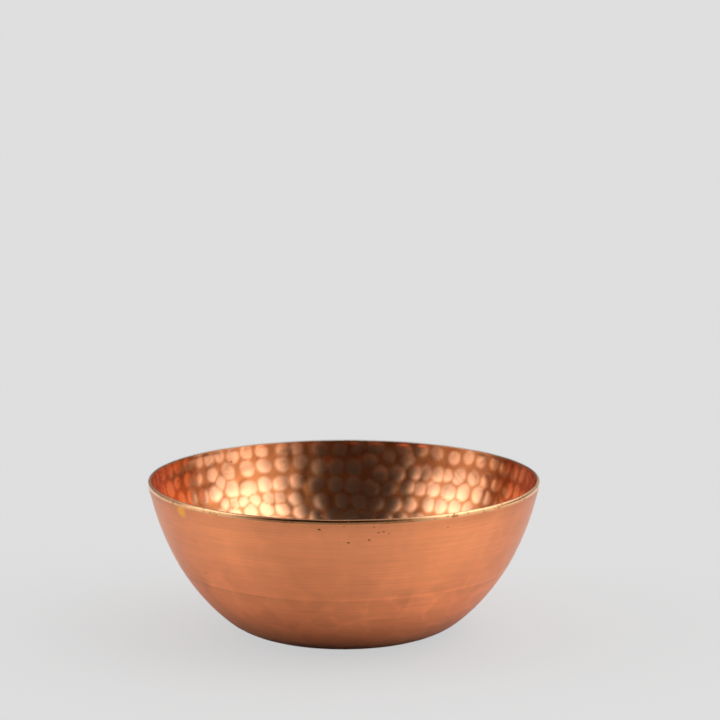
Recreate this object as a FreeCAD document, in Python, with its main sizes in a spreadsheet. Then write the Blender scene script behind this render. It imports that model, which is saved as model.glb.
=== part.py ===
# Hammered copper bowl, raised from one disc of sheet copper.
#
# Millimetres, +Z up, origin at the centre of the flat base, on the face that the
# bowl stands on. From the base a corner arc turns up into a lower wall arc, which
# meets a straighter upper wall arc at a faint crease ring. The rim is dressed flat.
# Inside, the wall is planished in nine level courses and the corner in two, each
# a narrow band that is straight in section and carries one ring of round hammer
# marks. Four more rings and one centre mark cover the floor. The outside is smooth.

import FreeCAD, Part
import Sketcher
import math
import os

Vector = FreeCAD.Vector
Constraint = Sketcher.Constraint

# ---------------------------------------------------------------- dimensions
# alias, value (mm), what it sets
CELLS = [
    ("rim_radius", 70.0, "outer radius at the rim"),
    ("bowl_height", 54.8, "rim face above the base face"),
    ("base_radius", 28.4, "radius of the flat the bowl stands on"),
    ("wall_thickness", 1.2, "sheet gauge"),
    ("crease_radius", 60.2, "outer radius at the crease ring"),
    ("crease_height", 26.3, "height of the crease ring"),
    ("upper_wall_radius", 96.0, "outer arc from the crease to the rim"),
    ("lower_wall_radius", 72.0, "outer arc from the corner to the crease"),
    ("corner_radius", 23.0, "outer arc from the base flat to the lower wall"),
    ("rim_edge_radius", 0.35, "rounding of the dressed rim's two edges"),
    ("hammer_face_radius", 20.0, "crown of the round hammer face"),
    ("wall_mark_depth", 0.18, "depth of a mark in the wall or the corner"),
    ("base_mark_depth", 0.22, "depth of a mark in the floor of the bowl"),
    ("mark_half_width", 3.6, "half width of the cutting lens, just over a mark"),
    ("lens_rise", 0.6, "how far the cutting lens stands clear inside the bowl"),
]
# Marks in each course of the wall and then of the corner, from the rim down.
# Every count is 2 more than a multiple of 4, so that no mark lies across the
# shell's seam at +Y.
WALL_COUNTS = [54, 54, 50, 50, 46, 46, 42, 38, 34]
CORNER_COUNTS = [30, 26]
COUNTS = WALL_COUNTS + CORNER_COUNTS
COURSES = ["course_" + letter for letter in "abcdefghijk"]
# Rings of marks in the floor: name, radius of the marks' centres, count.
FLOOR_RINGS = [
    ("floor_a", 24.4, 20),
    ("floor_b", 18.2, 15),
    ("floor_c", 12.1, 10),
    ("floor_d", 6.0, 5),
]

doc = FreeCAD.newDocument("hammered_bowl")
sheet = doc.addObject("Spreadsheet::Sheet", "dims")
for column, title in zip("ABC", ("name", "value", "what it sets")):
    sheet.set(column + "1", title)


def write_cells(cells, first_row):
    for row, (alias, value, note) in enumerate(cells, first_row):
        sheet.set("A%d" % row, alias)
        sheet.set("B%d" % row, repr(value))
        sheet.setAlias("B%d" % row, alias)
        sheet.set("C%d" % row, note)
    doc.recompute()


def cell(alias):
    return float(getattr(sheet, alias))


write_cells(CELLS, first_row=2)


# ------------------------------------------------------------ wall geometry
# Points of the section are (distance from the bowl's axis, height).
def arc_centre(low, high, radius):
    """Centre, on the axis side, of the arc of this radius through two points."""
    dx, dz = high[0] - low[0], high[1] - low[1]
    chord = math.hypot(dx, dz)
    offset = math.sqrt(radius * radius - chord * chord / 4)
    return (
        (low[0] + high[0]) / 2 - dz / chord * offset,
        (low[1] + high[1]) / 2 + dx / chord * offset,
    )


def crossings(centre_1, radius_1, centre_2, radius_2):
    """Both points where two circles meet."""
    dx, dz = centre_2[0] - centre_1[0], centre_2[1] - centre_1[1]
    gap = math.hypot(dx, dz)
    along = (radius_1 ** 2 - radius_2 ** 2 + gap ** 2) / (2 * gap)
    aside = math.sqrt(radius_1 ** 2 - along ** 2)
    return [
        (
            centre_1[0] + (along * dx + side * aside * dz) / gap,
            centre_1[1] + (along * dz - side * aside * dx) / gap,
        )
        for side in (1, -1)
    ]


def angle_to(centre, point):
    return math.atan2(point[1] - centre[1], point[0] - centre[0])


def on_circle(centre, radius, angle):
    return (centre[0] + radius * math.cos(angle), centre[1] + radius * math.sin(angle))


base_r, wall = cell("base_radius"), cell("wall_thickness")
rim = (cell("rim_radius"), cell("bowl_height"))
crease = (cell("crease_radius"), cell("crease_height"))
upper_r, lower_r = cell("upper_wall_radius"), cell("lower_wall_radius")
corner_r = cell("corner_radius")
upper_in_r, lower_in_r, corner_in_r = upper_r - wall, lower_r - wall, corner_r - wall

upper_centre = arc_centre(crease, rim, upper_r)
corner_centre = (base_r, corner_r)
# the lower arc passes through the crease and wraps the corner arc
lower_centre = max(
    crossings(crease, lower_r, corner_centre, lower_r - corner_r),
    key=lambda point: point[1],
)
corner_top_angle = angle_to(lower_centre, corner_centre)
inner_crease = max(crossings(upper_centre, upper_in_r, lower_centre, lower_in_r))
inner_rim_angle = math.asin((rim[1] - upper_centre[1]) / upper_in_r)
inner_rim = on_circle(upper_centre, upper_in_r, inner_rim_angle)

# The inner face's true section is three arcs, one wall's thickness inside the
# outer ones. The courses divide the wall's length evenly, and then the
# corner's, and their edges lie on the true section.
upper_run = upper_in_r * (inner_rim_angle - angle_to(upper_centre, inner_crease))
lower_run = lower_in_r * (angle_to(lower_centre, inner_crease) - corner_top_angle)
course_width = (upper_run + lower_run) / len(WALL_COUNTS)
corner_step = (corner_top_angle + math.pi / 2) / len(CORNER_COUNTS)


def inner_wall(run):
    """Point of the inner wall this far below the rim, along the section."""
    if run <= upper_run:
        return on_circle(upper_centre, upper_in_r, inner_rim_angle - run / upper_in_r)
    left = upper_run + lower_run - run
    return on_circle(lower_centre, lower_in_r, corner_top_angle + left / lower_in_r)


course_edges = [inner_rim]
course_edges += [inner_wall(n * course_width) for n in range(1, len(WALL_COUNTS))]
course_edges += [
    on_circle(corner_centre, corner_in_r, corner_top_angle - n * corner_step)
    for n in range(len(CORNER_COUNTS))
]
course_edges += [(base_r, wall)]


def ring_cells():
    """Cells that place the courses and the rings of marks."""
    cells = []
    bands = zip(COURSES, COUNTS, course_edges, course_edges[1:])
    for number, (name, count, top, foot) in enumerate(bands, 1):
        lean = math.degrees(math.atan2(top[0] - foot[0], top[1] - foot[1]))
        # the feet of the wall and of the corner are set by the arcs themselves
        if number not in (len(WALL_COUNTS), len(COUNTS)):
            cells.append((name + "_foot", round(foot[1], 3), "height of its lower edge"))
        cells += [
            (name + "_radius", round((top[0] + foot[0]) / 2, 3), "radius of its marks' centres"),
            (name + "_height", round((top[1] + foot[1]) / 2, 3), "height of its marks' centres"),
            (name + "_lean", round(lean, 3), "degrees its band leans out from upright"),
            (name + "_count", count, "marks in it"),
        ]
    for name, radius, count in FLOOR_RINGS:
        cells += [
            (name + "_radius", radius, "radius of its marks' centres"),
            (name + "_count", count, "marks in it"),
        ]
    return cells


write_cells(ring_cells(), first_row=2 + len(CELLS))

# ---------------------------------------------------------- sketching tools
START, END, CENTRE = 1, 2, 3  # the points of a sketched line or arc
ORIGIN = (-1, START)
VERTICAL_AXIS = -2

body = doc.addObject("PartDesign::Body", "bowl")
body.Label = "bowl"


def datum(role):
    """The body's origin plane or axis with this role."""
    return [item for item in body.Origin.OriginFeatures if item.Role == role][0]


def new_sketch(name, plane):
    sketch = body.newObject("Sketcher::SketchObject", name)
    sketch.AttachmentSupport = [(datum(plane), "")]
    sketch.MapMode = "FlatFace"
    return sketch


def arc(centre, radius, start, end):
    circle = Part.Circle(Vector(centre[0], centre[1], 0), Vector(0, 0, 1), radius)
    return Part.ArcOfCircle(circle, start, end)


def line(start, end):
    return Part.LineSegment(Vector(start[0], start[1], 0), Vector(end[0], end[1], 0))


def bind(sketch, name, expression, *constraint):
    """Add a named dimension that is driven by an expression."""
    index = sketch.addConstraint(Constraint(*constraint))
    sketch.renameConstraint(index, name)
    sketch.setExpression("Constraints." + name, expression)


# --------------------------------------------------------------- the shell
def wall_profile():
    """Half section of the plain bowl, in the YZ plane: the seam falls at +Y."""
    sketch = new_sketch("wall_profile", "YZ_Plane")
    down = -math.pi / 2
    sketch.addGeometry([
        line((0, 0), (base_r, 0)),
        arc(corner_centre, corner_r, down, corner_top_angle),
        arc(lower_centre, lower_r, corner_top_angle, angle_to(lower_centre, crease)),
        arc(upper_centre, upper_r, angle_to(upper_centre, crease), angle_to(upper_centre, rim)),
        line(rim, inner_rim),
        line((base_r, wall), (0, wall)),
        line((0, wall), (0, 0)),
    ], False)
    BASE, CORNER, LOWER, UPPER, RIM, FLOOR, AXIS = range(7)
    # the inner face's true arcs, for construction only
    sketch.addGeometry([
        arc(upper_centre, upper_in_r, angle_to(upper_centre, inner_crease), inner_rim_angle),
        arc(lower_centre, lower_in_r, corner_top_angle, angle_to(lower_centre, inner_crease)),
        arc(corner_centre, corner_in_r, down, corner_top_angle),
    ], True)
    # FIRST_COURSE is the course at the rim, and the others follow it down
    IN_UPPER, IN_LOWER, IN_CORNER, FIRST_COURSE = range(7, 11)
    sketch.addGeometry([line(*ends) for ends in zip(course_edges, course_edges[1:])], False)
    sketch.addConstraint([
        Constraint("Coincident", BASE, START, *ORIGIN),
        Constraint("Horizontal", BASE),
        Constraint("Tangent", BASE, END, CORNER, START),
        Constraint("Tangent", CORNER, END, LOWER, START),
        Constraint("Coincident", LOWER, END, UPPER, START),
        Constraint("Coincident", UPPER, END, RIM, START),
        Constraint("Horizontal", RIM),
        Constraint("Coincident", RIM, END, IN_UPPER, END),
        Constraint("Coincident", IN_UPPER, START, IN_LOWER, END),
        Constraint("Coincident", IN_UPPER, CENTRE, UPPER, CENTRE),
        Constraint("Coincident", IN_LOWER, CENTRE, LOWER, CENTRE),
        Constraint("Coincident", IN_CORNER, CENTRE, CORNER, CENTRE),
        Constraint("Tangent", IN_LOWER, START, IN_CORNER, END),
        Constraint("Tangent", IN_CORNER, START, FLOOR, START),
        Constraint("Horizontal", FLOOR),
        Constraint("Coincident", FLOOR, END, AXIS, START),
        Constraint("Coincident", AXIS, END, BASE, START),
        Constraint("Vertical", AXIS),
        Constraint("Coincident", RIM, END, FIRST_COURSE, START),
        Constraint("Coincident", FIRST_COURSE + len(COUNTS) - 1, END, FLOOR, START),
    ])
    for name, alias, *constraint in (
        ("base", "base_radius", "DistanceX", *ORIGIN, BASE, END, base_r),
        ("corner", "corner_radius", "Radius", CORNER, corner_r),
        ("lower", "lower_wall_radius", "Radius", LOWER, lower_r),
        ("upper", "upper_wall_radius", "Radius", UPPER, upper_r),
        ("crease_out", "crease_radius", "DistanceX", *ORIGIN, LOWER, END, crease[0]),
        ("crease_up", "crease_height", "DistanceY", *ORIGIN, LOWER, END, crease[1]),
        ("rim_out", "rim_radius", "DistanceX", *ORIGIN, UPPER, END, rim[0]),
        ("rim_up", "bowl_height", "DistanceY", *ORIGIN, UPPER, END, rim[1]),
    ):
        bind(sketch, name, "dims." + alias, *constraint)
    bind(sketch, "upper_inner", "dims.upper_wall_radius - dims.wall_thickness",
         "Radius", IN_UPPER, upper_in_r)
    bind(sketch, "lower_inner", "dims.lower_wall_radius - dims.wall_thickness",
         "Radius", IN_LOWER, lower_in_r)
    for n in range(1, len(COUNTS)):
        course = FIRST_COURSE + n
        sketch.addConstraint(Constraint("Coincident", course - 1, END, course, START))
        if n == len(WALL_COUNTS):
            # the last wall course ends where the corner begins
            sketch.addConstraint(Constraint("Coincident", course, START, IN_CORNER, END))
            continue
        height = course_edges[n][1]
        if n > len(WALL_COUNTS):
            track = IN_CORNER
        else:
            track = IN_UPPER if height > inner_crease[1] else IN_LOWER
        sketch.addConstraint(Constraint("PointOnObject", course, START, track))
        foot = COURSES[n - 1] + "_foot"
        bind(sketch, foot, "dims." + foot, "DistanceY", *ORIGIN, course, START, height)
    doc.recompute()
    return sketch


def raise_shell():
    profile = wall_profile()
    shell = body.newObject("PartDesign::Revolution", "raised_shell")
    shell.Profile = profile
    shell.ReferenceAxis = (profile, ["V_Axis"])
    shell.Angle = 360.0
    doc.recompute()
    return shell


def dress_rim(shell):
    """Round the rim's two edges, which are the full circles at the top."""
    rim_edges = []
    for number, edge in enumerate(shell.Shape.Edges, 1):
        box = edge.BoundBox
        level = abs(box.ZMin - rim[1]) < 1e-4 and abs(box.ZMax - rim[1]) < 1e-4
        if level and box.XLength > rim[0]:
            rim_edges.append("Edge%d" % number)
    fillet = body.newObject("PartDesign::Fillet", "dressed_rim")
    fillet.Base = (shell, rim_edges)
    fillet.setExpression("Radius", "dims.rim_edge_radius")
    body.Tip = fillet
    doc.recompute()


# --------------------------------------------------------- the hammer marks
def mark(name, radius_cell, height_cell, lean_cell, depth_cell):
    """One mark: a lens turned about the line through the mark's centre, square
    to the inner face. Without a radius cell it lies on the bowl's axis, and
    without a lean cell the face it marks is level."""
    depth, face_r = cell(depth_cell), cell("hammer_face_radius")
    half_width, rise = cell("mark_half_width"), cell("lens_rise")
    radius = cell(radius_cell) if radius_cell else 0.0
    height = cell(height_cell)
    lean = math.radians(cell(lean_cell)) if lean_cell else math.pi / 2
    inward = (math.cos(lean), -math.sin(lean))  # unit direction into the metal

    def at(along, aside):
        return (
            radius + along * inward[0] - aside * inward[1],
            height + along * inward[1] + aside * inward[0],
        )

    bottom, top, face_centre = at(depth, 0), at(-rise, 0), at(depth - face_r, 0)
    brim = at(depth - face_r + math.sqrt(face_r ** 2 - half_width ** 2), half_width)
    sketch = new_sketch(name + "_lens", "XZ_Plane")
    sketch.addGeometry([
        line(bottom, top),
        line(top, brim),
        arc(face_centre, face_r, angle_to(face_centre, bottom), angle_to(face_centre, brim)),
    ], False)
    # from the mark's centre on the inner face to the top of the lens
    sketch.addGeometry([line((radius, height), top)], True)
    AXIS, COVER, FACE, RISE = range(4)
    sketch.addConstraint([
        Constraint("Coincident", AXIS, END, COVER, START),
        Constraint("Coincident", COVER, END, FACE, END),
        Constraint("Coincident", FACE, START, AXIS, START),
        Constraint("PointOnObject", FACE, CENTRE, AXIS),
        Constraint("Coincident", RISE, END, AXIS, END),
        Constraint("PointOnObject", RISE, START, AXIS),
    ])
    if radius_cell:
        bind(sketch, "radius", "dims." + radius_cell, "DistanceX", *ORIGIN, RISE, START, radius)
    else:
        sketch.addConstraint(Constraint("PointOnObject", RISE, START, VERTICAL_AXIS))
    bind(sketch, "height", "dims." + height_cell, "DistanceY", *ORIGIN, RISE, START, height)
    bind(sketch, "lean", "180 deg - dims.%s * 1 deg" % lean_cell if lean_cell else "90 deg",
         "Angle", AXIS, angle_to(bottom, top))
    bind(sketch, "rise", "dims.lens_rise", "Distance", RISE, rise)
    bind(sketch, "reach", "dims.%s + dims.lens_rise" % depth_cell,
         "Distance", AXIS, depth + rise)
    bind(sketch, "face", "dims.hammer_face_radius", "Radius", FACE, face_r)
    bind(sketch, "half", "dims.mark_half_width", "Distance", COVER, END, AXIS, half_width)
    doc.recompute()
    groove = body.newObject("PartDesign::Groove", name + "_mark")
    groove.Profile = sketch
    groove.ReferenceAxis = (sketch, ["Edge1"])
    groove.Angle = 360.0
    groove.Refine = False
    body.Tip = groove
    doc.recompute()
    return groove


def ring_of_marks(name, height_cell, lean_cell, depth_cell):
    """A level ring of marks, patterned round the bowl's axis."""
    before = body.Shape.Volume
    first = mark(name, name + "_radius", height_cell, lean_cell, depth_cell)
    each = before - first.Shape.Volume
    ring = body.newObject("PartDesign::PolarPattern", name)
    ring.Originals = [first]
    ring.Axis = (datum("Z_Axis"), [""])
    ring.Angle = 360.0
    ring.setExpression("Occurrences", "dims." + name + "_count")
    ring.Refine = False
    body.Tip = ring
    doc.recompute()
    # every mark of the ring takes about as much as the first one did
    taken = before - ring.Shape.Volume
    if each < 0.5 or abs(taken / (each * ring.Occurrences) - 1) > 0.06:
        raise RuntimeError("%s took %.2f mm3, and its first mark %.3f" % (name, taken, each))


def check_bowl():
    for item in doc.Objects:
        if "Invalid" in item.State or "Error" in item.State:
            raise RuntimeError("%s is %s" % (item.Name, item.State))
    for sketch in doc.findObjects("Sketcher::SketchObject"):
        if not sketch.FullyConstrained:
            raise RuntimeError("%s is not fully constrained" % sketch.Name)
    shape = body.Shape
    if shape.isNull() or not shape.isValid() or len(shape.Solids) != 1:
        raise RuntimeError("the bowl is not one valid solid")


dress_rim(raise_shell())
mark("floor_centre", None, "wall_thickness", None, "base_mark_depth")
for name, _, _ in FLOOR_RINGS:
    ring_of_marks(name, "wall_thickness", None, "base_mark_depth")
for name in COURSES:
    ring_of_marks(name, name + "_height", name + "_lean", "wall_mark_depth")
doc.recompute()
check_bowl()

os.makedirs("parts", exist_ok=True)
body.Shape.exportStep("parts/%s.step" % body.Label)
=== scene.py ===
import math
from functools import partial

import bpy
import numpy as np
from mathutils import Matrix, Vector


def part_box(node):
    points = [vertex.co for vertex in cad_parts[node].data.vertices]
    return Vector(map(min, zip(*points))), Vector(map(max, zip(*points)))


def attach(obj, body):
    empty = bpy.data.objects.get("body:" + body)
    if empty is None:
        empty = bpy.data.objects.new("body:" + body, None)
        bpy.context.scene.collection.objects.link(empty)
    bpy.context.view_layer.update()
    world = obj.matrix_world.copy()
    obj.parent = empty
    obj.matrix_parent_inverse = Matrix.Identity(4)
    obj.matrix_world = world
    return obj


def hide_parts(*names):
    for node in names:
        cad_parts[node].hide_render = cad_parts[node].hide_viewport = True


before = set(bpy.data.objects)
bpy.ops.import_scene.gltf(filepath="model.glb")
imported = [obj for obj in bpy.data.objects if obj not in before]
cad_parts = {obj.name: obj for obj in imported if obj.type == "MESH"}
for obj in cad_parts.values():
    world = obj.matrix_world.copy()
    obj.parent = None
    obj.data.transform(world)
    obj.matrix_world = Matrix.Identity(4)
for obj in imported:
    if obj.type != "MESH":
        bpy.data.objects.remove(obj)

# Hammered copper bowl: one raised sheet, modelled as one closed mesh in place of
# the CAD node, with its hammer marks, crease ring, dressed rim and brushed
# outside as real relief. It stands on its base with its axis along Z, and the
# camera looks at it from -Y. Lengths of the shape are in millimetres of the CAD
# design, scaled to the CAD node's box as they are written to the mesh. Places in
# the materials, the stage and the camera are in metres.
#
# "run" is always the distance in mm down a face of the sheet from the rim, and
# "angle" goes round from +X, in radians.

RIM_R, HEIGHT = 70.0, 54.8
WALL = 1.2                   # thickness of the sheet
BASE_R = 28.4                # flat part of the base
UPPER_R, LOWER_R, CORNER_R = 96.0, 72.0, 23.0      # outer arcs of the section
CREASE = (60.2, 26.3)        # where the upper and lower arcs meet: radius, height

# The dressed rim: width and height of its outer edge, size of its inner edge
EDGE_OUT, EDGE_TALL, EDGE_IN = 0.60, 0.98, 0.24
EDGE_X = RIM_R - EDGE_OUT - 0.01

COLUMNS = 576                # vertices in a full ring
MIN_SPACING = 0.52           # rings closer spaced than this are halved
OUTSIDE, RIM, INSIDE = 0.0, 1.0, 2.0               # values of the "side" attribute
NO_CREASE = -20.0            # "crease" attribute away from the outside

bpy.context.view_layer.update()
box_lo, box_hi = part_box("bowl")
MID = ((box_lo[0] + box_hi[0]) / 2, (box_lo[1] + box_hi[1]) / 2, box_lo[2])
SCALE_R = (box_hi[0] - box_lo[0] + box_hi[1] - box_lo[1]) / 4 / RIM_R
SCALE_Z = (box_hi[2] - box_lo[2]) / HEIGHT


# ------------------------------------------------------------------ profile
def arc_centre(low, high, radius):
    """Centre, on the bowl's inner side, of an arc between two points."""
    dx, dz = high[0] - low[0], high[1] - low[1]
    chord = math.hypot(dx, dz)
    rise = math.sqrt(radius * radius - chord * chord / 4)
    return ((low[0] + high[0]) / 2 - dz / chord * rise,
            (low[1] + high[1]) / 2 + dx / chord * rise)


def crossings(first, first_r, second, second_r):
    """The two points where two circles cross."""
    dx, dz = second[0] - first[0], second[1] - first[1]
    gap = math.hypot(dx, dz)
    along = (first_r * first_r - second_r * second_r + gap * gap) / (2 * gap)
    aside = math.sqrt(first_r * first_r - along * along)
    return [(first[0] + along * dx / gap + k * aside * dz / gap,
             first[1] + along * dz / gap - k * aside * dx / gap) for k in (1, -1)]


def direction(centre, point):
    return math.atan2(point[1] - centre[1], point[0] - centre[0])


UPPER_AT = arc_centre(CREASE, (RIM_R, HEIGHT), UPPER_R)
CORNER_AT = (BASE_R, CORNER_R)
LOWER_AT = max(crossings(CREASE, LOWER_R, CORNER_AT, LOWER_R - CORNER_R), key=lambda c: c[1])
TURN = direction(LOWER_AT, CORNER_AT)     # where the lower arc runs into the corner


class Face:
    """One face of the sheet, inset mm within the outer one: three arcs and a flat."""

    def __init__(self, inset, crease):
        self.inset = inset
        self.radii = upper_r, lower_r, corner_r = [
            radius - inset for radius in (UPPER_R, LOWER_R, CORNER_R)]
        self.rim_angle = math.asin((HEIGHT - UPPER_AT[1]) / upper_r)
        self.crease_angle = direction(LOWER_AT, crease)
        # lengths of the upper and lower arcs, then runs to the corner, flat and middle
        self.upper = upper_r * (self.rim_angle - direction(UPPER_AT, crease))
        self.lower = lower_r * (self.crease_angle - TURN)
        self.corner = corner_r * (TURN + math.pi / 2)
        self.corner_at = self.upper + self.lower
        self.wall = self.corner_at + self.corner
        self.total = self.wall + BASE_R

    def at(self, run):
        """Radius and height of a point, and its normal away from the arc's centre."""
        run = np.asarray(run, float)
        upper_r, lower_r, corner_r = self.radii
        arcs = (
            (UPPER_AT, upper_r, self.rim_angle - run / upper_r),
            (LOWER_AT, lower_r, self.crease_angle - (run - self.upper) / lower_r),
            (CORNER_AT, corner_r, TURN - (run - self.upper - self.lower) / corner_r),
        )
        where = [run <= self.upper, run <= self.corner_at, run <= self.wall]
        radius = np.select(where, [c[0] + r * np.cos(a) for c, r, a in arcs], self.total - run)
        z = np.select(where, [c[1] + r * np.sin(a) for c, r, a in arcs], self.inset + 0 * run)
        normal = np.select(where, [a for _, _, a in arcs], -math.pi / 2 + 0 * run)
        return radius, z, np.cos(normal), np.sin(normal)


OUTER = Face(0.0, CREASE)
INNER = Face(WALL, max(crossings(UPPER_AT, UPPER_R - WALL, LOWER_AT, LOWER_R - WALL),
                       key=lambda c: c[0]))


def turned(radius, z, angle):
    """Points, or directions, of the section turned round the axis."""
    return np.stack([radius * np.cos(angle), radius * np.sin(angle), z], -1)


def smooth(x):
    x = np.clip(x, 0, 1)
    return x * x * (3 - 2 * x)


def waves(angle, seed, orders, size):
    """A smooth periodic unevenness round the bowl."""
    random = np.random.default_rng(seed)
    total = 0 * angle
    for k in orders:
        swing = random.normal() * np.cos(k * angle + random.uniform(0, 2 * math.pi))
        total = total + swing / math.sqrt(len(orders))
    return size * total


# ------------------------------------------------------------- hammer marks
# Marks of the far wall: degrees round from +X, run, half width in mm. The
# others are filled in round them.
SET_MARKS = (
    (138.1, 3.1, 2.8), (133.8, 2.4, 2.6), (128.4, 3.2, 3.0), (123.1, 2.6, 2.9),
    (117.6, 2.7, 2.9), (110.1, 2.7, 2.9), (105.5, 2.6, 2.8), (149.9, 8.4, 3.1),
    (145.3, 8.7, 3.1), (137.8, 8.9, 3.1), (131.1, 8.7, 3.4), (123.6, 8.6, 3.4),
    (117.3, 8.3, 3.1), (110.7, 8.3, 3.2), (104.4, 7.9, 3.0), (155.9, 14.6, 3.2),
    (150.2, 14.8, 3.2), (144.3, 16.0, 3.2), (138.2, 16.0, 3.5), (131.0, 15.3, 3.9),
    (124.4, 16.3, 3.8), (117.9, 15.6, 3.3), (111.9, 15.6, 3.3), (106.3, 15.3, 3.2),
    (99.6, 16.6, 3.0), (135.1, 20.8, 2.5), (131.3, 21.2, 2.6), (127.1, 21.1, 2.5),
    (122.5, 20.9, 2.6), (117.1, 20.8, 2.6), (113.0, 21.2, 2.6), (107.4, 22.4, 3.0),
    (138.6, 24.6, 3.0), (132.1, 24.8, 3.2), (125.3, 25.0, 3.3), (118.7, 25.0, 3.2),
    (112.7, 25.6, 3.2), (106.0, 27.0, 3.1), (65.4, 11.4, 3.0), (61.7, 11.0, 2.8),
    (57.1, 11.1, 3.2), (53.6, 11.0, 2.7), (48.8, 10.8, 3.4), (42.7, 10.4, 3.1),
    (36.9, 10.3, 3.0), (31.1, 10.6, 3.0), (67.4, 17.4, 3.0), (63.0, 17.4, 2.9),
    (58.2, 17.0, 3.2), (51.8, 17.3, 3.5), (45.9, 16.5, 3.6), (38.8, 16.0, 3.5),
    (34.2, 16.4, 2.9), (65.9, 23.8, 3.0), (58.7, 23.0, 3.1), (53.7, 23.0, 3.1),
    (47.9, 22.6, 3.2), (41.9, 22.4, 3.1), (58.5, 3.0, 2.8), (51.9, 4.0, 2.9),
    (46.1, 3.0, 2.8), (40.7, 3.4, 2.8), (81.3, 7.2, 2.9), (75.0, 5.4, 2.8),
)
COURSES = (3.0, 9.9, 16.6, 23.1, 29.5, 36.0, 42.3, 48.5, 54.6, 60.6, 66.6)    # runs
COURSE_PITCH = 7.35
DRIFTING_COURSES = 7         # the courses below these wander less
FLOOR_COURSES = ((27.4, 23), (21.1, 18), (14.7, 12), (8.2, 7), (1.5, 1))  # radius, count
CLEAR_OF_SET = 4.2           # other marks nearer a set mark are dropped
SPREAD_TO = 6.9              # marks nearer than this push each other apart
LARGEST_GAP = 5.0            # an empty spot this far from all marks gets one


def drift(angle, run):
    """How far the courses wander off level, mm."""
    return (1.1 * np.sin(angle - 5.25) * np.clip(run / 8, 0, 1)
            + 0.5 * np.sin(3 * angle + 1.0 + run * 0.15))


def mark_frames(marks):
    """Centre, direction round, direction down and radius of each mark."""
    angle = marks[:, 0]
    radius, z, normal_r, normal_z = INNER.at(np.clip(marks[:, 1], 0, INNER.total))
    across = np.stack([-np.sin(angle), np.cos(angle), 0 * angle], 1)
    return turned(radius, z, angle), across, turned(normal_z, -normal_r, angle), radius


def course_marks():
    """The set marks, then courses down the wall and rings on the floor."""
    rng = np.random.default_rng(7)
    marks = [(math.radians(degrees), run, half) for degrees, run, half in SET_MARKS]
    for n, level in enumerate(COURSES):
        count = int(round(2 * math.pi * float(INNER.at(level)[0]) / COURSE_PITCH))
        phase = rng.uniform(0, 1)
        for k in range(count):
            angle = 2 * math.pi * (k + phase + 0.16 * rng.normal()) / count
            angle = (angle + math.pi) % (2 * math.pi) - math.pi
            share = 1 if n < DRIFTING_COURSES else 0.4
            run = level + float(drift(angle, level)) * share + 0.35 * rng.normal()
            marks.append((angle, run, rng.normal(3.2, 0.22)))
    for radius, count in FLOOR_COURSES:
        phase = rng.uniform(0, 1)
        for k in range(count):
            angle = 2 * math.pi * (k + phase + 0.12 * rng.normal()) / count
            run = INNER.total - max(0.4, radius + 0.4 * rng.normal())
            marks.append((angle, run, rng.normal(3.3, 0.25)))
    return np.array(marks)


def settle(marks, fixed, steps):
    """Push the marks that are not fixed apart, in place."""
    for _ in range(steps):
        centre, across, down, radius = mark_frames(marks)
        apart = centre[:, None] - centre[None]
        distance = np.linalg.norm(apart, axis=2) + np.eye(len(marks)) * 99
        push = np.clip(SPREAD_TO - distance, 0, None) / distance
        force = (apart * push[..., None]).sum(1) * 0.22
        force[fixed] = 0
        marks[:, 0] += (force * across).sum(1) / np.maximum(radius, 2.0)
        marks[:, 1] = np.clip(marks[:, 1] + (force * down).sum(1) * 0.6, 2.2, INNER.total)


def hammer_marks():
    """All the marks of the inner face as rows of angle, run and half width."""
    marks = course_marks()
    fixed = np.arange(len(marks)) < len(SET_MARKS)
    centre = mark_frames(marks)[0]
    near = np.linalg.norm(centre[:, None] - centre[None, fixed], axis=2).min(1)
    keep = fixed | (near > CLEAR_OF_SET)
    marks, fixed = marks[keep], fixed[keep]
    settle(marks, fixed, steps=40)

    # put a mark in each empty spot that is left
    runs, angles = np.meshgrid(np.arange(2.5, INNER.total - 2, 1.2),
                               np.arange(0, 360, 1.6) * math.pi / 180, indexing="ij")
    probes = np.stack([angles.ravel(), runs.ravel(), np.full(angles.size, 3.2)], 1)
    where = mark_frames(probes)[0]
    room = np.full(len(where), 99.0)
    for centre in mark_frames(marks)[0]:
        room = np.minimum(room, np.linalg.norm(where - centre, axis=1))
    while room.max() > LARGEST_GAP:
        k = int(room.argmax())
        marks, fixed = np.vstack([marks, probes[k]]), np.append(fixed, False)
        room = np.minimum(room, np.linalg.norm(where - where[k], axis=1))
    settle(marks, fixed, steps=30)
    return marks


MARKS = hammer_marks()


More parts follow.
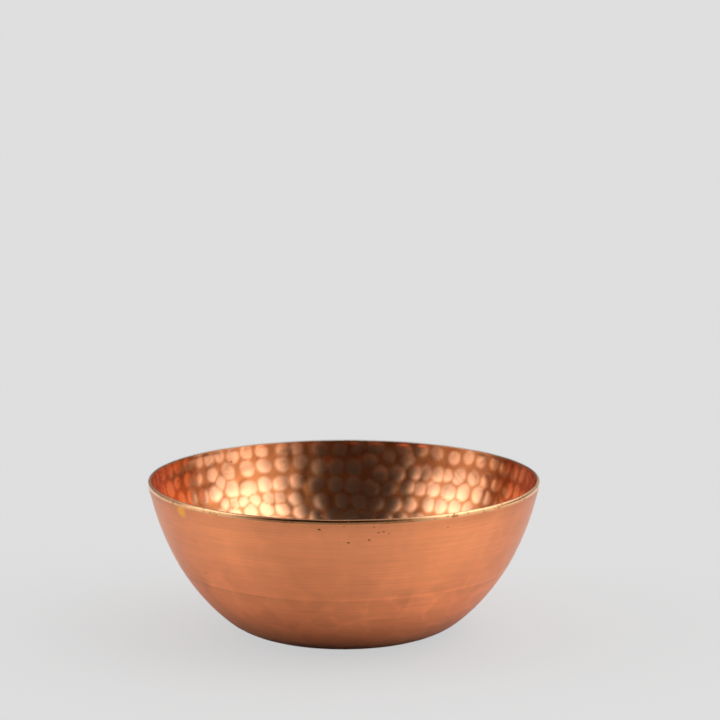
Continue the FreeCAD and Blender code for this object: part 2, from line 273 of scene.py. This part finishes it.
def relief_in(angle, run):
    """Depth of the hammering below the inner face, and how far a point is in a mark (0 to 1)."""
    centre, across, down, _ = mark_frames(MARKS)
    random = np.random.default_rng(11)
    count = len(MARKS)
    half = MARKS[:, 2] * 1.09
    depth = 0.0140 * half * half * random.uniform(0.76, 1.24, count)
    oval = 1 + 0.05 * random.normal(size=count)
    spin = random.uniform(0, math.pi, count)
    tilt = 0.021 * random.normal(size=(count, 2))
    blend = 0.020            # softness of the ridges between marks, mm

    radius, z, _, _ = INNER.at(run)
    offset = turned(radius, z, angle)[:, None] - centre[None]
    x, y = (offset * across).sum(2), (offset * down).sum(2)
    far = (offset * offset).sum(2) > 49
    along = x * np.cos(spin) + y * np.sin(spin)
    aside = -x * np.sin(spin) + y * np.cos(spin)
    reach = np.sqrt((along / (half * oval)) ** 2 + (aside * oval / half) ** 2)
    cup = depth * (1 - reach ** 2) + tilt[:, 0] * x + tilt[:, 1] * y
    cup = np.where(far, -9.0, cup)
    total = blend * np.log1p(np.exp(np.clip(cup / blend, -40, 40)).sum(1))
    nearest = np.partition(np.where(far, 9.0, reach), 1, axis=1)[:, :2]
    within = (smooth((1.04 - nearest[:, 0]) / 0.34)
              * smooth((nearest[:, 1] - nearest[:, 0]) / 0.34 + 0.10))
    return total, within


# ------------------------------------------------------------------ outside
def worn_marks():
    """Ghosts of the marks on the outside: rows of angle, run, half width and strength."""
    random = np.random.default_rng(23)
    ghosts = []
    for level in np.arange(5.0, OUTER.corner_at - 1, 6.6):
        count = int(round(2 * math.pi * float(OUTER.at(level)[0]) / 7.6))
        for k in range(count):
            place = k + 0.5 * (len(ghosts) % 2) + 0.2 * random.normal()
            ghosts.append((2 * math.pi * place / count, level + 0.7 * random.normal(),
                           random.uniform(2.6, 4.2), random.uniform(0.3, 1.0)))
    return np.array(ghosts)


GHOSTS = worn_marks()


def crease_line(angle):
    """The run of the crease ring on the outside."""
    return OUTER.upper + 1.6 + waves(angle, seed=31, orders=range(1, 6), size=0.22)


def relief_out(angle, run):
    """How far the outer face stands off its true section, mm."""
    ghost_angle, ghost_run, half, strength = GHOSTS.T[:, None]
    turn = (angle[:, None] - ghost_angle + math.pi) % (2 * math.pi) - math.pi
    x, y = turn * OUTER.at(run)[0][:, None], run[:, None] - ghost_run
    cups = (strength * np.clip(1 - (x * x + y * y) / half ** 2, 0, None) ** 2).sum(1)
    lower = smooth((run - OUTER.upper) / 2.0)
    fade = smooth((OUTER.corner_at + 4 - run) / 8.0)
    # the ghosts are stronger below the crease
    height = -(cups * (0.011 + 0.034 * lower) * fade * smooth(run / 4.0))
    # the crease: a fine raised ring, with the wall below it let in a little
    below = run - crease_line(angle)
    height += 0.040 * np.exp(-(below / 0.60) ** 2)
    height -= (0.035 * smooth((below - 0.3) / 1.6)
               * smooth((OUTER.corner_at - 6 - run) / 10.0))
    # the sheet's own slow unevenness
    slow = waves(angle, seed=41, orders=range(2, 9), size=0.05)
    height += slow * smooth(run / 6) * fade - 0.02
    return height


# --------------------------------------------------------------------- mesh
# Rings of vertices from the middle of the underside, up the outside, over the
# rim and down the inside to the middle of the floor.
UNDERSIDE_RADII = (2.0, 4.5, 7.5, 11.0, 15.0, 19.0, 22.5, 25.2, 27.2)
DISH = 0.12                  # rise of the underside at its middle
OUTER_RUNS = np.concatenate([
    np.linspace(1.85, OUTER.upper - 0.4, 15),
    OUTER.upper + np.array([0.35, 0.85, 1.3, 1.65, 2.05, 2.6, 3.3]),
    np.linspace(OUTER.upper + 4.6, OUTER.corner_at, 14),
    OUTER.corner_at + OUTER.corner * np.array([0.14, 0.28, 0.42, 0.56, 0.7, 0.85, 1.0]),
])[::-1]
INNER_RUNS = np.concatenate([[0.42, 0.9], np.linspace(1.5, INNER.wall - 0.1, 94)])
RIM_FADE = 8.0               # run over which the rim's unevenness dies out

rings = []                   # first vertex and count of each ring
points = []
attributes = {"mark": [], "run": [], "side": [], "crease": []}


def ring_angles(count):
    return np.arange(count) * 2 * math.pi / count


full_ring = ring_angles(COLUMNS)


def coarse_ring(radius):
    """Angles of a ring as coarse as its radius allows."""
    count = COLUMNS
    while count > 9 and 2 * math.pi * radius / count < MIN_SPACING and count % 2 == 0:
        count //= 2
    return ring_angles(count)


def add_ring(radius, z, angle, mark, run, side, crease=None):
    if crease is None:
        crease = run - crease_line(angle) if side == OUTSIDE else NO_CREASE
    rings.append((sum(len(ring) for ring in points), len(angle)))
    points.append(turned(radius, z + 0 * angle, angle))
    for name, value in zip(attributes, (mark, run, side, crease)):
        attributes[name].append(np.broadcast_to(value, angle.shape))


def below_highest(seed, orders, size):
    wave = waves(full_ring, seed, orders, size)
    return wave - wave.max()


rim_drop = below_highest(seed=51, orders=[*range(2, 8), 13, 17, 23, 31], size=0.05)
thickening = -below_highest(seed=61, orders=[*range(2, 9), 15, 22], size=0.045)


def add_underside():
    add_ring(0.0, DISH, np.zeros(1), 0.0, OUTER.total, OUTSIDE, crease=60.0)
    for radius in UNDERSIDE_RADII:
        z = DISH * (1 - smooth(radius / 25.0))
        add_ring(radius, z, coarse_ring(radius), 0.0, OUTER.total - radius, OUTSIDE)


def add_outside():
    # the wall is led out to meet the rim's outer edge
    lip = EDGE_X + EDGE_OUT - float(OUTER.at(1.6)[0]) - 0.035
    for level in OUTER_RUNS:
        run = np.full(COLUMNS, level)
        radius, z, normal_r, normal_z = OUTER.at(run)
        height = relief_out(full_ring, run)
        flat = smooth((OUTER.wall - level) / 4.0)
        z = np.maximum(z + height * normal_z * flat, 0.0)
        add_ring(radius + height * normal_r * flat + lip * smooth((7.0 - level) / 5.4),
                 z + rim_drop * smooth((RIM_FADE - level) / RIM_FADE),
                 full_ring, 0.0, run, OUTSIDE)


def add_rim():
    """A long worn outer edge, a flat and a small inner edge."""
    section = []             # radius, height, share of the way across to the inside
    tilt = math.atan(math.tan(OUTER.rim_angle) * EDGE_TALL / EDGE_OUT)
    for k in range(8):
        angle = (k + 0.4) / 8 * (math.pi / 2 - tilt) + tilt
        section.append((EDGE_X + EDGE_OUT * math.cos(angle),
                        HEIGHT - EDGE_TALL + EDGE_TALL * math.sin(angle), 0.0))
    flat_end = float(INNER.at(0.0)[0]) + EDGE_IN
    for k in range(1, 4):
        section.append((EDGE_X + (flat_end - EDGE_X) * k / 4, HEIGHT, k / 4))
    for k in range(5):
        angle = math.pi / 2 + (k + 0.5) / 5 * (math.pi / 2 + INNER.rim_angle)
        section.append((flat_end + EDGE_IN * math.cos(angle),
                        HEIGHT - EDGE_IN + EDGE_IN * math.sin(angle), 1.0))
    for radius, z, share in section:
        add_ring(radius + thickening * share, z + rim_drop, full_ring, 0.0, 0.0, RIM)


def add_inside():
    for level in INNER_RUNS:
        run = np.full(COLUMNS, level)
        depth, mark = relief_in(full_ring, run)
        depth = depth * smooth((level - 0.1) / 1.3)
        radius, z, normal_r, normal_z = INNER.at(run)
        add_ring(radius + depth * normal_r + thickening * smooth((6.0 - level) / 6.0),
                 z + depth * normal_z + rim_drop * smooth((RIM_FADE - level) / RIM_FADE),
                 full_ring, mark, run, INSIDE)
    floor_rings = [(radius, coarse_ring(radius)) for radius in np.arange(BASE_R - 0.6, 0.5, -0.72)]
    for radius, angle in floor_rings + [(0.0, np.zeros(1))]:
        run = np.full(len(angle), INNER.total - radius)
        depth, mark = relief_in(angle, run)
        add_ring(radius, WALL - depth, angle, mark, run, INSIDE)


def join(first, second):
    """Faces between two rings: equal, one half the other, or one a single point."""
    (i, n), (j, m) = first, second
    if n == 1:
        return [(i, j + (k + 1) % m, j + k) for k in range(m)]
    if m == 1:
        return [(i + k, i + (k + 1) % n, j) for k in range(n)]
    if n == m:
        return [(i + k, i + (k + 1) % n, j + (k + 1) % n, j + k) for k in range(n)]
    faces = []
    for k in range(min(n, m)):
        fine, coarse = (i, j) if n > m else (j, i)
        start, middle, end = fine + 2 * k, fine + 2 * k + 1, fine + (2 * k + 2) % max(n, m)
        here, after = coarse + k, coarse + (k + 1) % min(n, m)
        if n > m:
            faces += [(start, middle, here), (middle, after, here), (middle, end, after)]
        else:
            faces += [(here, middle, start), (here, after, middle), (after, end, middle)]
    return faces


def build_bowl():
    add_underside()
    add_outside()
    add_rim()
    add_inside()
    places = np.array(MID) + np.concatenate(points) * (SCALE_R, SCALE_R, SCALE_Z)
    faces = [face for pair in zip(rings, rings[1:]) for face in join(*pair)]
    mesh = bpy.data.meshes.new("bowl_shell")
    mesh.from_pydata(places.tolist(), [], faces)
    mesh.validate()
    for name, values in attributes.items():
        attribute = mesh.attributes.new(name, "FLOAT", "POINT")
        attribute.data.foreach_set("value", np.concatenate(values).astype(np.float32))
    mesh.polygons.foreach_set("use_smooth", [True] * len(mesh.polygons))
    mesh.update()
    return bpy.data.objects.new("bowl_shell", mesh)


bowl = build_bowl()
bpy.context.scene.collection.objects.link(bowl)
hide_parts("bowl")
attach(bowl, "root")


# ----------------------------------------------------------- shader helpers
# Each adds a node to the tree last opened and returns an output socket, or the
# node itself in the case of node().
def open_tree(owner):
    global tree
    owner.use_nodes = True
    tree = owner.node_tree
    tree.nodes.clear()


def put(socket, value):
    if isinstance(value, bpy.types.NodeSocket):
        tree.links.new(value, socket)
    else:
        socket.default_value = value


def node(kind, inputs=None, **settings):
    made = tree.nodes.new(kind)
    for name, value in settings.items():
        setattr(made, name, value)
    for name, value in (inputs or {}).items():
        put(made.inputs[name], value)
    return made


def calc(operation, first, second=None, clamp=False):
    inputs = {0: first} if second is None else {0: first, 1: second}
    return node("ShaderNodeMath", inputs, operation=operation, use_clamp=clamp).outputs[0]


add, sub, mul = partial(calc, "ADD"), partial(calc, "SUBTRACT"), partial(calc, "MULTIPLY")
most, absolute = partial(calc, "MAXIMUM"), partial(calc, "ABSOLUTE")


def vec(operation, first, second=None, output="Vector"):
    inputs = {0: first} if second is None else {0: first, 1: second}
    return node("ShaderNodeVectorMath", inputs, operation=operation).outputs[output]


def scaled(vector, amount):
    return node("ShaderNodeVectorMath", {0: vector, "Scale": amount},
                operation="SCALE").outputs[0]


def jitter(vector, noise_colour, size):
    """The vector moved about by a coloured noise."""
    return vec("ADD", vector, vec("MULTIPLY", vec("SUBTRACT", noise_colour, (0.5,) * 3), size))


def noise(vector, scale, detail=2.0, rough=0.5, distort=0.0, output="Fac"):
    return node("ShaderNodeTexNoise", {
        "Vector": vector, "Scale": scale, "Detail": detail, "Roughness": rough,
        "Distortion": distort}).outputs[output]


def ramp(value, start, end, to=(0.0, 1.0), kind="SMOOTHSTEP"):
    return node("ShaderNodeMapRange", {
        "Value": value, "From Min": start, "From Max": end, "To Min": to[0], "To Max": to[1],
    }, interpolation_type=kind).outputs["Result"]


def mix(factor, first, second, blend="MIX"):
    return node("ShaderNodeMix", {"Factor": factor, "A": first, "B": second},
                data_type="RGBA", blend_type=blend).outputs["Result"]


def lerp(factor, first, second):
    return node("ShaderNodeMix", {"Factor": factor, "A": first, "B": second},
                data_type="FLOAT").outputs["Result"]


def attribute(name):
    return node("ShaderNodeAttribute", attribute_name=name).outputs["Fac"]


def mix_shader(factor, first, second):
    return node("ShaderNodeMixShader", {0: factor, 1: first, 2: second}).outputs[0]


# ------------------------------------------------------------------- copper
# Dark and light ends of each area's colour
OUT_DARK, OUT_LIGHT = (0.797, 0.276, 0.111, 1), (0.854, 0.306, 0.129, 1)
MARK_DARK, MARK_LIGHT = (0.980, 0.426, 0.218, 1), (0.980, 0.477, 0.260, 1)
GAP_DARK, GAP_LIGHT = (0.521, 0.160, 0.047, 1), (0.614, 0.204, 0.066, 1)
RIM_DARK, RIM_LIGHT = (0.40, 0.17, 0.07, 1), (0.84, 0.45, 0.22, 1)
# painted shade of the rim, at its front and back
RIM_PAINTED_SHADE = (0.19, 0.070, 0.026, 1)
STAIN, TARNISH = (0.97, 0.42, 0.050, 1), (0.30, 0.105, 0.035, 1)
# tints of painted shade under the inside of the rim, and of painted warm interreflection at the
# inside's left and right
UNDER_RIM_SHADE_TINT, SIDE_BOUNCE_TINT = (0.98, 0.88, 0.80, 1), (1.0, 0.68, 0.34, 1)
SCRATCH = (0.20, 0.070, 0.026, 1)
PIT, PIT_HALO = (0.20, 0.055, 0.010, 1), (0.50, 0.15, 0.030, 1)
FOOT_SHADE = 0.44
FACET_SCALE = 105.0          # worn hammer facets of the outside
STAIN_AT = (MID[0] - 0.0553, MID[1] - 0.0422, MID[2] + 0.0518)
PITTED_AT = (MID[0] + 0.006, MID[1] - 0.0688, MID[2] + 0.0475)

# Brushed lines run round the bowl, as noise long level and short upright:
# scale level, scale upright, detail, roughness, share in the outside's shade
STREAKS = (
    (26.0, 3300.0, 3.0, 0.65, 0.26),
    (48.0, 1500.0, 2.0, 0.6, 0.20),
    (14.0, 420.0, 2.0, 0.5, 0.07),
)
# Scratches down the far wall: degrees round, run of the top, length, lean
SCRATCHES = (
    (56.5, 2.6, 6.2, 0.51), (57.8, 3.4, 5.6, 0.50), (55.1, 3.0, 4.8, 0.50),
    (53.2, 8.6, 5.4, 1.25), (51.0, 8.2, 4.8, 1.30),
)
SCRATCH_R = 66.0             # radius that turns their angles to mm


def outside_colour(position, run, crease, streaks, slow, cloud):
    wander = noise(position, scale=70.0, output="Color")
    bent = jitter(position, wander, (0.006,) * 3)
    facet = node("ShaderNodeTexVoronoi", {
        "Smoothness": 0.45, "Vector": bent, "Scale": FACET_SCALE}, feature="SMOOTH_F1")
    tone = node("ShaderNodeSeparateColor", {"Color": facet.outputs["Color"]}).outputs["Red"]
    facets = mul(sub(tone, 0.5), ramp(crease, start=-14.0, end=6.0, to=(0.25, 1.0)))

    colour = mix(ramp(slow, start=0.3, end=0.7), OUT_DARK, OUT_LIGHT)
    shade = 1.0
    shares = [streak[-1] for streak in STREAKS] + [0.26]
    for texture, share in zip(streaks + [cloud], shares):
        shade = add(shade, mul(sub(texture, 0.5), share))
    shade = add(shade, mul(facets, 0.15))

    # the crease ring: a painted highlight, a fine light line along its ridge, and painted shade, a
    # darker band that fades below it
    line = mul(ramp(crease, start=-0.75, end=0.0), ramp(crease, start=0.55, end=0.0))
    band = mul(ramp(crease, start=0.1, end=0.9), ramp(crease, start=4.0, end=0.8))
    line = mul(line, ramp(slow, start=0.35, end=0.60, to=(0.35, 1.0)))
    shade = add(shade, mul(line, 0.11))
    # light lines between the facets
    outline = node("ShaderNodeTexVoronoi", {"Vector": bent, "Scale": FACET_SCALE},
                   feature="DISTANCE_TO_EDGE").outputs["Distance"]
    worn = mul(ramp(outline, start=0.17, end=0.03),
               mul(ramp(crease, start=-9.0, end=3.0, to=(0.25, 1.0)),
                   ramp(cloud, start=0.40, end=0.60, to=(0.35, 1.0))))
    shade = add(shade, mul(worn, 0.085))
    shade = sub(shade, mul(band, 0.07))

    # painted shade: darker at the foot and darker still at the corner, next to the floor; also a
    # little darker under the rim
    shade = mul(shade, lerp(ramp(run, start=38.0, end=65.0), 1.0, FOOT_SHADE))
    shade = mul(shade, ramp(run, start=56.0, end=64.0, to=(1.0, 0.62)))
    shade = mul(shade, lerp(ramp(run, start=8.0, end=1.0), 1.0, 0.87))
    colour = scaled(colour, shade)

    # a thin warm stain under the rim, and one spot of it
    stain = mul(ramp(run, start=6.0, end=1.5),
                ramp(noise(position, scale=55.0, detail=3.0, rough=0.55, distort=0.5),
                     start=0.60, end=0.74))
    from_spot = vec("DISTANCE", jitter(position, wander, (0.004, 0.004, 0.006)), STAIN_AT,
                    output="Value")
    stain = most(mul(stain, 0.55), mul(ramp(from_spot, start=0.0034, end=0.0010), 0.92))
    return mix(stain, colour, STAIN)


def scratch_lines(x, y, run):
    round_at = mul(calc("ARCTAN2", sub(y, MID[1]), sub(x, MID[0])), SCRATCH_R)
    lines = None
    for degrees, top, length, lean in SCRATCHES:
        off = add(sub(round_at, math.radians(degrees) * SCRATCH_R), mul(sub(run, top), lean))
        bottom = top + length
        line = mul(ramp(absolute(off), start=0.26, end=0.05),
                   mul(ramp(run, start=top, end=top + 1.5),
                       ramp(run, start=bottom, end=bottom - 2.0)))
        lines = line if lines is None else most(lines, line)
    return lines


def inside_colour(position, x, y, run, mark, cloud, patch):
    mark_colour = mix(ramp(patch, start=0.3, end=0.7), MARK_DARK, MARK_LIGHT)
    gap_colour = mix(ramp(patch, start=0.3, end=0.7), GAP_DARK, GAP_LIGHT)
    # painted shade: the gaps between the marks take a darker, more saturated copper than the marks
    colour = mix(mark, gap_colour, mark_colour)
    # tarnish lies more between the marks, with smudges under the rim
    tarnish = mul(ramp(noise(position, scale=60.0, detail=4.0, rough=0.65, distort=0.6),
                       start=0.54, end=0.74), lerp(mark, 0.62, 0.30))
    smudge = mul(ramp(run, start=17.0, end=4.0),
                 ramp(noise(position, scale=105.0, detail=4.0, rough=0.7, distort=1.2),
                      start=0.50, end=0.66, to=(0.0, 0.45)))
    colour = mix(most(tarnish, smudge), colour, TARNISH)
    # painted shade: darker and warmer towards the rim
    rim_shaded = mix(1.0, colour, UNDER_RIM_SHADE_TINT, blend="MULTIPLY")
    colour = scaled(mix(ramp(run, start=3.0, end=17.0), rim_shaded, colour),
                    lerp(ramp(run, start=3.0, end=17.0), 0.80, 1.0))
    # painted warm interreflection: the left and right of the inside tinted deeper and warmer
    side_bounce = mul(ramp(absolute(sub(x, MID[0])), start=0.049, end=0.061),
                ramp(cloud, start=0.42, end=0.58, to=(0.30, 1.0)))
    colour = mix(side_bounce, colour, mix(1.0, colour, SIDE_BOUNCE_TINT, blend="MULTIPLY"))
    return mix(mul(scratch_lines(x, y, run), 0.70), colour, SCRATCH)


def rim_colour(position, x, y):
    mottle = noise(position, scale=420.0, detail=3.0, rough=0.6)
    colour = mix(ramp(mottle, start=0.52, end=0.72), RIM_LIGHT, RIM_DARK)
    # painted shade: darker in the middle at the front and back, and all over the back half
    rim_shade = most(ramp(absolute(add(x, 0.004 - MID[0])), start=0.042, end=0.020),
                  ramp(y, start=MID[1] - 0.012, end=MID[1] + 0.012))
    return mix(mul(rim_shade, 0.84), colour, RIM_PAINTED_SHADE)


def pits(position, run, inside):
    """Small dark specks in loose clusters, most of them just under the rim, and their halos."""
    ragged = noise(position, scale=1500.0, output="Color")
    cells = node("ShaderNodeTexVoronoi", {
        "Vector": vec("MULTIPLY", jitter(position, ragged, (0.0012, 0.0012, 0.0008)),
                      (0.8, 0.8, 1.45)),
        "Scale": 760.0}, feature="F1")
    pick = node("ShaderNodeSeparateColor", {"Color": cells.outputs["Color"]}).outputs
    distance = cells.outputs["Distance"]
    # the share of cells that hold a pit
    near_rim = ramp(run, start=15.0, end=0.0)
    cluster = ramp(noise(position, scale=48.0), start=0.50, end=0.68)
    often = mul(add(mul(near_rim, lerp(inside, 0.17, 0.045)), lerp(inside, 0.007, 0.003)),
                add(cluster, 0.04))
    from_patch = vec("DISTANCE", position, PITTED_AT, output="Value")
    often = add(often, ramp(from_patch, start=0.018, end=0.004, to=(0.0, 0.060)))
    chosen = calc("GREATER_THAN", pick["Red"], sub(1.0, often))
    width = lerp(calc("POWER", pick["Green"], 2.0), 0.20, 0.50)
    spot = sub(1.0, calc("DIVIDE", distance, width), clamp=True)
    pit = mul(chosen, ramp(spot, start=0.05, end=0.55))
    halo = mul(chosen, ramp(calc("DIVIDE", distance, width), start=1.5, end=0.6))
    return pit, halo


def copper():
    material = bpy.data.materials.new("bowl_copper")
    open_tree(material)
    position = node("ShaderNodeTexCoord").outputs["Object"]
    mark, run, side, crease = map(attribute, ("mark", "run", "side", "crease"))
    inside = ramp(side, start=1.3, end=1.7)
    outside = ramp(side, start=0.7, end=0.3)
    rim = sub(1.0, add(inside, outside), clamp=True)
    x, y, _ = node("ShaderNodeSeparateXYZ", {0: position}).outputs

    streaks = [
        noise(vec("MULTIPLY", position, (level, level, upright)), 1.0, detail, rough)
        for level, upright, detail, rough, _ in STREAKS]
    slow = noise(position, scale=26.0, detail=3.0, rough=0.55, distort=0.4)
    cloud = noise(position, scale=62.0, detail=4.0, rough=0.6, distort=0.8)
    patch = noise(position, scale=95.0, detail=3.0, rough=0.6, distort=0.3)
    fine = noise(position, scale=900.0, detail=3.0, rough=0.6)

    colour = mix(inside, outside_colour(position, run, crease, streaks, slow, cloud),
                 inside_colour(position, x, y, run, mark, cloud, patch))
    colour = mix(rim, colour, rim_colour(position, x, y))
    pit, halo = pits(position, run, inside)
    colour = mix(mul(halo, 0.34), colour, PIT_HALO)
    colour = mix(mul(pit, 0.86), colour, PIT)

    # roughness: outside, inside, rim, pits
    rough_out = add(lerp(streaks[0], 0.37, 0.45), mul(slow, 0.04))
    rough_in = add(lerp(mark, 0.28, 0.225), mul(sub(patch, 0.5), 0.08))
    rough = lerp(rim, lerp(inside, rough_out, rough_in), 0.19)
    rough = add(rough, mul(pit, 0.4), clamp=True)

    # bump, in metres: brushing outside, skin texture inside, grain on the rim
    bump_out = add(mul(streaks[0], 0.0000090), mul(streaks[1], 0.000014))
    bump_in = add(mul(patch, 0.000005), mul(fine, 0.0000010))
    bump_rim = mul(noise(position, scale=1400.0, rough=0.6), 0.00002)
    height = lerp(rim, lerp(inside, bump_out, bump_in), bump_rim)
    height = sub(height, mul(pit, 0.00005))
    bump = node("ShaderNodeBump", {"Strength": 1.0, "Distance": 1.0, "Height": height})

    tangent = node("ShaderNodeTangent", direction_type="RADIAL", axis="Z")
    bare = most(pit, rim)
    surface = node("ShaderNodeBsdfPrincipled", {
        "Base Color": colour,
        "Metallic": 1.0,
        "Specular Tint": mix(outside, (1.0, 1.0, 1.0, 1), (0.86, 0.78, 0.76, 1)),
        "Roughness": rough,
        # the brushing spreads light up and down, and hardly at all along its lines
        "Anisotropic": mul(outside, 0.82),
        "Anisotropic Rotation": 0.25,
        # a thin clear lacquer
        "Coat Weight": mul(lerp(inside, 0.28, 0.24), sub(1.0, bare, clamp=True)),
        "Coat Roughness": lerp(inside, 0.30, 0.17),
        "Coat IOR": 1.5,
        "Tangent": tangent.outputs["Tangent"],
        "Normal": bump.outputs["Normal"],
    })
    node("ShaderNodeOutputMaterial", {"Surface": surface.outputs["BSDF"]})
    return material


bowl.data.materials.append(copper())

# -------------------------------------------------------------------- floor
FLOOR_R, FLOOR_SIDES = 4.0, 96


def floor_material():
    """Pale paper that fades to clear away from the bowl."""
    material = bpy.data.materials.new("floor_paper")
    open_tree(material)
    position = node("ShaderNodeTexCoord").outputs["Object"]
    away = ramp(vec("LENGTH", position, output="Value"), start=0.9, end=2.6)
    grain = noise(position, scale=900.0)
    paper = node("ShaderNodeBsdfPrincipled", {
        "Base Color": mix(grain, (0.78, 0.78, 0.78, 1), (0.80, 0.80, 0.80, 1)),
        "Roughness": 0.6,
        "Specular IOR Level": 0.2,
    })
    # to the camera the paper also glows evenly, which lifts the cast shadow
    direct = node("ShaderNodeBsdfDiffuse", {
        "Color": mix(grain, (0.148, 0.148, 0.148, 1), (0.152, 0.152, 0.152, 1))})
    glow = node("ShaderNodeEmission", {"Color": (1.0, 1.0, 1.0, 1), "Strength": 0.565})
    lifted = node("ShaderNodeAddShader", {0: direct.outputs[0], 1: glow.outputs[0]})
    to_camera = node("ShaderNodeLightPath").outputs["Is Camera Ray"]
    seen = mix_shader(to_camera, paper.outputs["BSDF"], lifted.outputs[0])
    clear = node("ShaderNodeBsdfTransparent").outputs["BSDF"]
    node("ShaderNodeOutputMaterial", {"Surface": mix_shader(away, seen, clear)})
    return material


floor_mesh = bpy.data.meshes.new("floor")
corners = [(FLOOR_R * math.cos(2 * math.pi * k / FLOOR_SIDES),
            FLOOR_R * math.sin(2 * math.pi * k / FLOOR_SIDES), MID[2])
           for k in range(FLOOR_SIDES)]
floor_mesh.from_pydata(corners, [], [tuple(range(FLOOR_SIDES))])
floor = bpy.data.objects.new("floor", floor_mesh)
bpy.context.scene.collection.objects.link(floor)
floor_mesh.materials.append(floor_material())

# -------------------------------------------------------------------- light
# Plain soft white light round the bowl: softboxes and dark flags, as the
# brightness of each sector of azimuth (edges in degrees, 0 towards the camera
# and + to its right) in three bands of height, lowest first.
SECTORS = (-180, -140, -105, -82, -64, -49, -34, -20, 18, 27, 38, 53, 75, 105, 140, 180)
BANDS = (
    (0.25, 0.35, 1.45, 1.10, 0.45, 0.10, 0.08, 0.06, 0.20, 0.40, 1.00, 1.80, 1.25, 0.25, 0.45),
    (0.65, 0.75, 2.40, 2.20, 0.95, 0.07, 0.02, 0.03, 0.02, 0.35, 1.10, 2.30, 2.75, 1.60, 1.10),
    (1.05, 0.95, 1.50, 1.40, 0.75, 0.15, 0.04, 0.03, 0.06, 0.40, 1.25, 2.35, 2.60, 1.90, 1.45),
)
ZENITH, BELOW = 1.45, 0.78   # brightness overhead and below the horizon
SOFT = 3.0                   # half width of the blend between sectors, degrees
LEVEL = 4.0                  # strength that a colour of 1 stands for
BACKDROP = (0.735, 0.735, 0.735, 1)


def light_band(azimuth, strengths):
    """One level band of softboxes, as brightness round the horizon."""
    band = node("ShaderNodeValToRGB",
                {"Fac": ramp(azimuth, start=-math.pi, end=math.pi, kind="LINEAR")})
    stops = []
    for k, edge in enumerate(SECTORS[1:-1]):
        stops += [(edge - SOFT, strengths[k]), (edge + SOFT, strengths[k + 1])]
    colours = band.color_ramp
    colours.interpolation = "LINEAR"
    while len(colours.elements) < len(stops):
        colours.elements.new(0.5)
    for element, (edge, strength) in zip(colours.elements, stops):
        element.position = (edge + 180.0) / 360.0
        element.color = (strength / LEVEL,) * 3 + (1.0,)
    return band.outputs["Color"]


def build_world():
    world = bpy.data.worlds.new("studio")
    bpy.context.scene.world = world
    open_tree(world)
    view = node("ShaderNodeTexCoord").outputs["Generated"]
    x, y, z = node("ShaderNodeSeparateXYZ", {0: view}).outputs
    azimuth = calc("ARCTAN2", x, mul(y, -1.0))
    elevation = calc("ARCSINE", z)
    light, middle, high = [light_band(azimuth, strengths) for strengths in BANDS]
    # elevations, in degrees, over which the light so far gives way to the next
    for start, end, following in (
        (17, 27, middle),
        (40, 50, high),
        (63, 73, (ZENITH / LEVEL,) * 3 + (1.0,)),
        (0.5, -0.5, (BELOW / LEVEL,) * 3 + (1.0,)),
    ):
        light = mix(ramp(elevation, math.radians(start), math.radians(end)), light, following)
    lit = node("ShaderNodeBackground", {"Color": light, "Strength": LEVEL}).outputs[0]
    seen = node("ShaderNodeBackground", {"Color": BACKDROP}).outputs[0]
    to_camera = node("ShaderNodeLightPath").outputs["Is Camera Ray"]
    node("ShaderNodeOutputWorld", {"Surface": mix_shader(to_camera, lit, seen)})


build_world()

# ------------------------------------------------------------------- camera
CAMERA_BACK, CAMERA_ABOVE_RIM = 0.8428, 0.1762
CAMERA_DOWN, CAMERA_TURN = 9.03, -0.39             # degrees
FOCUS_OUT = 0.062            # from the axis towards the camera

camera_data = bpy.data.cameras.new("camera")
camera_data.sensor_width = 24.0
camera_data.lens = 80.16
camera_data.clip_start = 0.05
camera_data.clip_end = 50.0
camera = bpy.data.objects.new("camera", camera_data)
bpy.context.scene.collection.objects.link(camera)
rim_z = MID[2] + HEIGHT * SCALE_Z
camera.location = (MID[0], MID[1] - CAMERA_BACK, rim_z + CAMERA_ABOVE_RIM)
camera.rotation_euler = (math.radians(90.0 - CAMERA_DOWN), 0.0, math.radians(CAMERA_TURN))
bpy.context.scene.camera = camera

# The focus is on the front of the bowl, from wherever the camera stands: an empty
# on the axis turns to the camera, and carries the point of focus in front of it.
pivot = bpy.data.objects.new("focus_pivot", None)
bpy.context.scene.collection.objects.link(pivot)
pivot.location = (MID[0], MID[1], MID[2] + 0.6 * HEIGHT * SCALE_Z)
track = pivot.constraints.new("DAMPED_TRACK")
track.target, track.track_axis = camera, "TRACK_Z"
focus = bpy.data.objects.new("focus_point", None)
bpy.context.scene.collection.objects.link(focus)
focus.parent = pivot
focus.location = (0.0, 0.0, FOCUS_OUT)
camera_data.dof.use_dof = True
camera_data.dof.focus_object = focus
camera_data.dof.aperture_fstop = 15.0

bpy.context.scene.view_settings.view_transform = "Standard"
bpy.context.scene.view_settings.look = "None"
